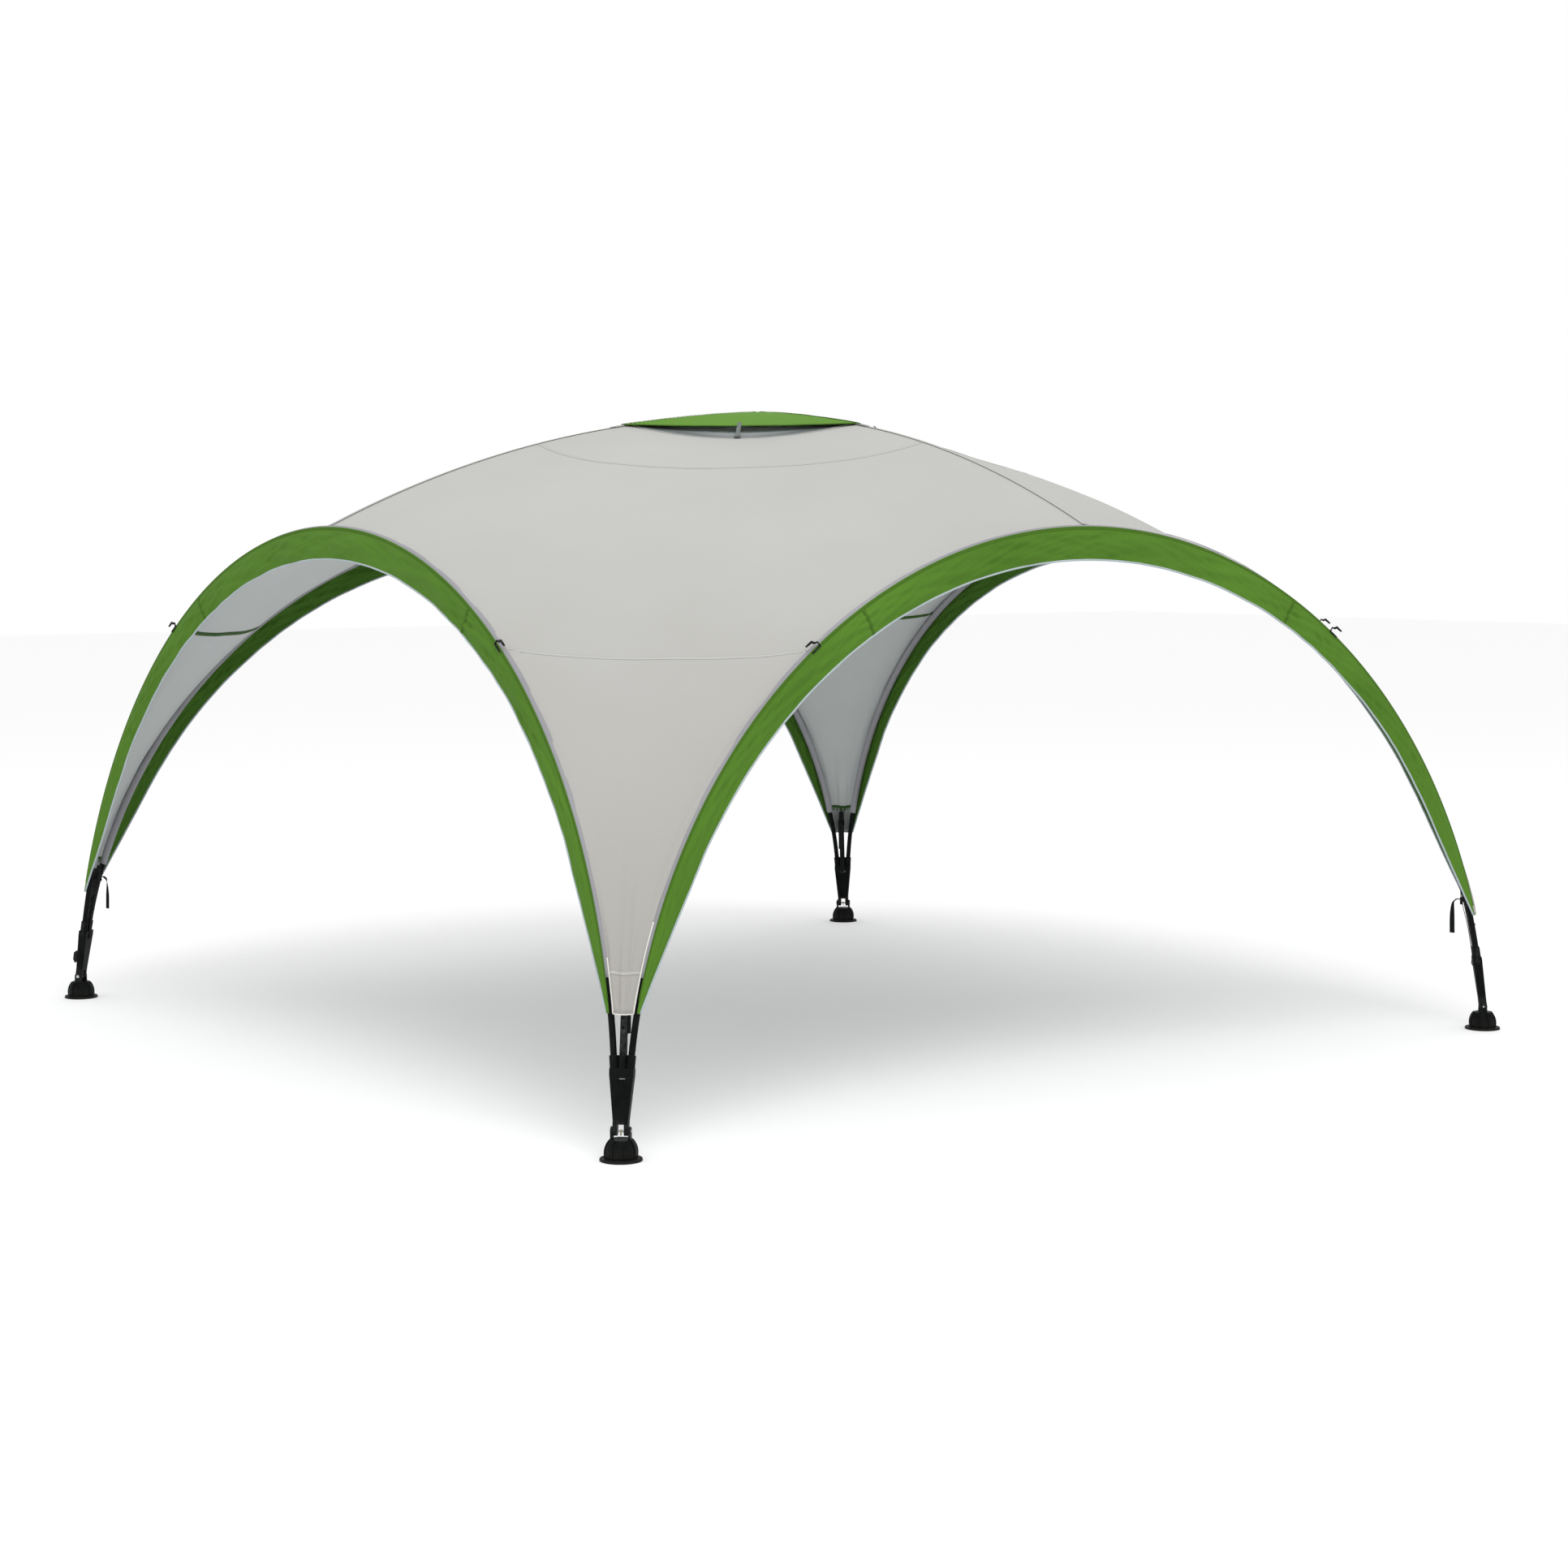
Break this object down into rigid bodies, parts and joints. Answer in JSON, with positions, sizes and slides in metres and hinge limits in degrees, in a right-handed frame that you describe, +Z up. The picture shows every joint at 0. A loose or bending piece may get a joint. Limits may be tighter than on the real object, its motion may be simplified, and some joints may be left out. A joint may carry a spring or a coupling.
{
  "type": "event shelter",
  "caption": "Square domed event shelter: leaning tube arches on tilting feet, roof poles to a hub, panelled cloth canopy with arch bands and a propped vent cap.",
  "frame": {"origin": "on the ground under the hub, the middle of the four feet", "axes": "+Z up; +Y from the front archway to the back one; +X to the right"},
  "size_m": [3.771, 3.771, 2.174],
  "materials": {
    "roof_fabric": "light grey coated polyester cloth",
    "band_fabric": "green coated polyester cloth",
    "cap_fabric": "green coated polyester cloth",
    "vent_net": "grey knitted net",
    "grey_webbing": "woven webbing",
    "black_webbing": "woven webbing",
    "black_plastic": "moulded, slightly satin",
    "grey_plastic": "moulded",
    "steel": "plated",
    "brass": "plated",
    "pole_paint": "dark grey powder coat"
  },
  "bodies": {
    "shelter": {"arch_band_back": "band_fabric", "arch_band_front": "band_fabric", "arch_band_left": "band_fabric", "arch_band_right": "band_fabric", "arch_crown_pole_back": "pole_paint", "arch_crown_pole_front": "pole_paint", "arch_crown_pole_left": "pole_paint", "arch_crown_pole_right": "pole_paint", "arch_leg_pole_back_at_back_left": "pole_paint", "arch_leg_pole_back_at_back_right": "pole_paint", "arch_leg_pole_front_at_front_left": "pole_paint", "arch_leg_pole_front_at_front_right": "pole_paint", "arch_leg_pole_left_at_back_left": "pole_paint", "arch_leg_pole_left_at_front_left": "pole_paint", "arch_leg_pole_right_at_back_right": "pole_paint", "arch_leg_pole_right_at_front_right": "pole_paint", "arch_tees": "black_plastic", "corner_strap_back_left": "black_webbing", "corner_strap_back_right": "black_webbing", "corner_strap_front_left": "black_webbing", "corner_strap_front_right": "black_webbing", "corner_strut_back_left": "pole_paint", "corner_strut_back_right": "pole_paint", "corner_strut_front_left": "pole_paint", "corner_strut_front_right": "pole_paint", "foot_pins": "steel", "guy_hooks": "black_plastic", "hub": "black_plastic", "leg_bracket_back_left": "black_plastic", "leg_bracket_back_right": "black_plastic", "leg_bracket_front_left": "black_plastic", "leg_bracket_front_right": "black_plastic", "leg_cleat_back_left": "black_plastic", "pin_rings": "brass", "pole_inserts": "pole_paint", "roof_panel_back_left": "roof_fabric", "roof_panel_back_right": "roof_fabric", "roof_panel_front_left": "roof_fabric", "roof_panel_front_right": "roof_fabric", "roof_pole_back": "pole_paint", "roof_pole_front": "pole_paint", "roof_pole_left": "pole_paint", "roof_pole_right": "pole_paint", "strap_buckles": "black_plastic", "vent_cap": "cap_fabric", "vent_mesh": "vent_net", "vent_prop_clips": "grey_plastic", "vent_straps": "grey_webbing"},
    "foot_back_right": {"foot_base_back_right": "black_plastic"},
    "prop_back_right": {"vent_prop_back_right": "grey_plastic"},
    "foot_back_left": {"foot_base_back_left": "black_plastic"},
    "prop_back_left": {"vent_prop_back_left": "grey_plastic"},
    "foot_front_left": {"foot_base_front_left": "black_plastic"},
    "prop_front_left": {"vent_prop_front_left": "grey_plastic"},
    "foot_front_right": {"foot_base_front_right": "black_plastic"},
    "prop_front_right": {"vent_prop_front_right": "grey_plastic"},
    "button_back_right": {"pole_button_back_right": "steel"},
    "button_back_left": {"pole_button_back_left": "steel"},
    "button_front_left": {"pole_button_front_left": "steel"},
    "button_front_right": {"pole_button_front_right": "steel"}
  },
  "joints": [
    {"name": "foot_tilt_back_right", "type": "hinge", "parent": "shelter", "child": "foot_back_right", "pos_m": [1.825, 1.825, 0.082], "axis": [-0.7071, 0.7071, 0], "range_deg": [-20, 20]},
    {"name": "vent_prop_fold_back_right", "type": "hinge", "parent": "shelter", "child": "prop_back_right", "pos_m": [0.33603, 0.33603, 2.07173], "axis": [-0.7071, 0.7071, 0], "range_deg": [0, 135]},
    {"name": "foot_tilt_back_left", "type": "hinge", "parent": "shelter", "child": "foot_back_left", "pos_m": [-1.825, 1.825, 0.082], "axis": [-0.7071, -0.7071, 0], "range_deg": [-20, 20]},
    {"name": "vent_prop_fold_back_left", "type": "hinge", "parent": "shelter", "child": "prop_back_left", "pos_m": [-0.33603, 0.33603, 2.07173], "axis": [-0.7071, -0.7071, 0], "range_deg": [0, 135]},
    {"name": "foot_tilt_front_left", "type": "hinge", "parent": "shelter", "child": "foot_front_left", "pos_m": [-1.825, -1.825, 0.082], "axis": [0.7071, -0.7071, 0], "range_deg": [-20, 20]},
    {"name": "vent_prop_fold_front_left", "type": "hinge", "parent": "shelter", "child": "prop_front_left", "pos_m": [-0.33603, -0.33603, 2.07173], "axis": [0.7071, -0.7071, 0], "range_deg": [0, 135]},
    {"name": "foot_tilt_front_right", "type": "hinge", "parent": "shelter", "child": "foot_front_right", "pos_m": [1.825, -1.825, 0.082], "axis": [0.7071, 0.7071, 0], "range_deg": [-20, 20]},
    {"name": "vent_prop_fold_front_right", "type": "hinge", "parent": "shelter", "child": "prop_front_right", "pos_m": [0.33603, -0.33603, 2.07173], "axis": [0.7071, 0.7071, 0], "range_deg": [0, 135]},
    {"name": "button_press_back_right", "type": "slide", "parent": "shelter", "child": "button_back_right", "axis": [-0.6934, -0.6934, -0.1959], "range_m": [0, 0.0045], "stiffness_N_per_m": 400, "springref_m": -0.002},
    {"name": "button_press_back_left", "type": "slide", "parent": "shelter", "child": "button_back_left", "axis": [0.6934, -0.6934, -0.1959], "range_m": [0, 0.0045], "stiffness_N_per_m": 400, "springref_m": -0.002},
    {"name": "button_press_front_left", "type": "slide", "parent": "shelter", "child": "button_front_left", "axis": [0.6934, 0.6934, -0.1959], "range_m": [0, 0.0045], "stiffness_N_per_m": 400, "springref_m": -0.002},
    {"name": "button_press_front_right", "type": "slide", "parent": "shelter", "child": "button_front_right", "axis": [-0.6934, 0.6934, -0.1959], "range_m": [0, 0.0045], "stiffness_N_per_m": 400, "springref_m": -0.002}
  ]
}
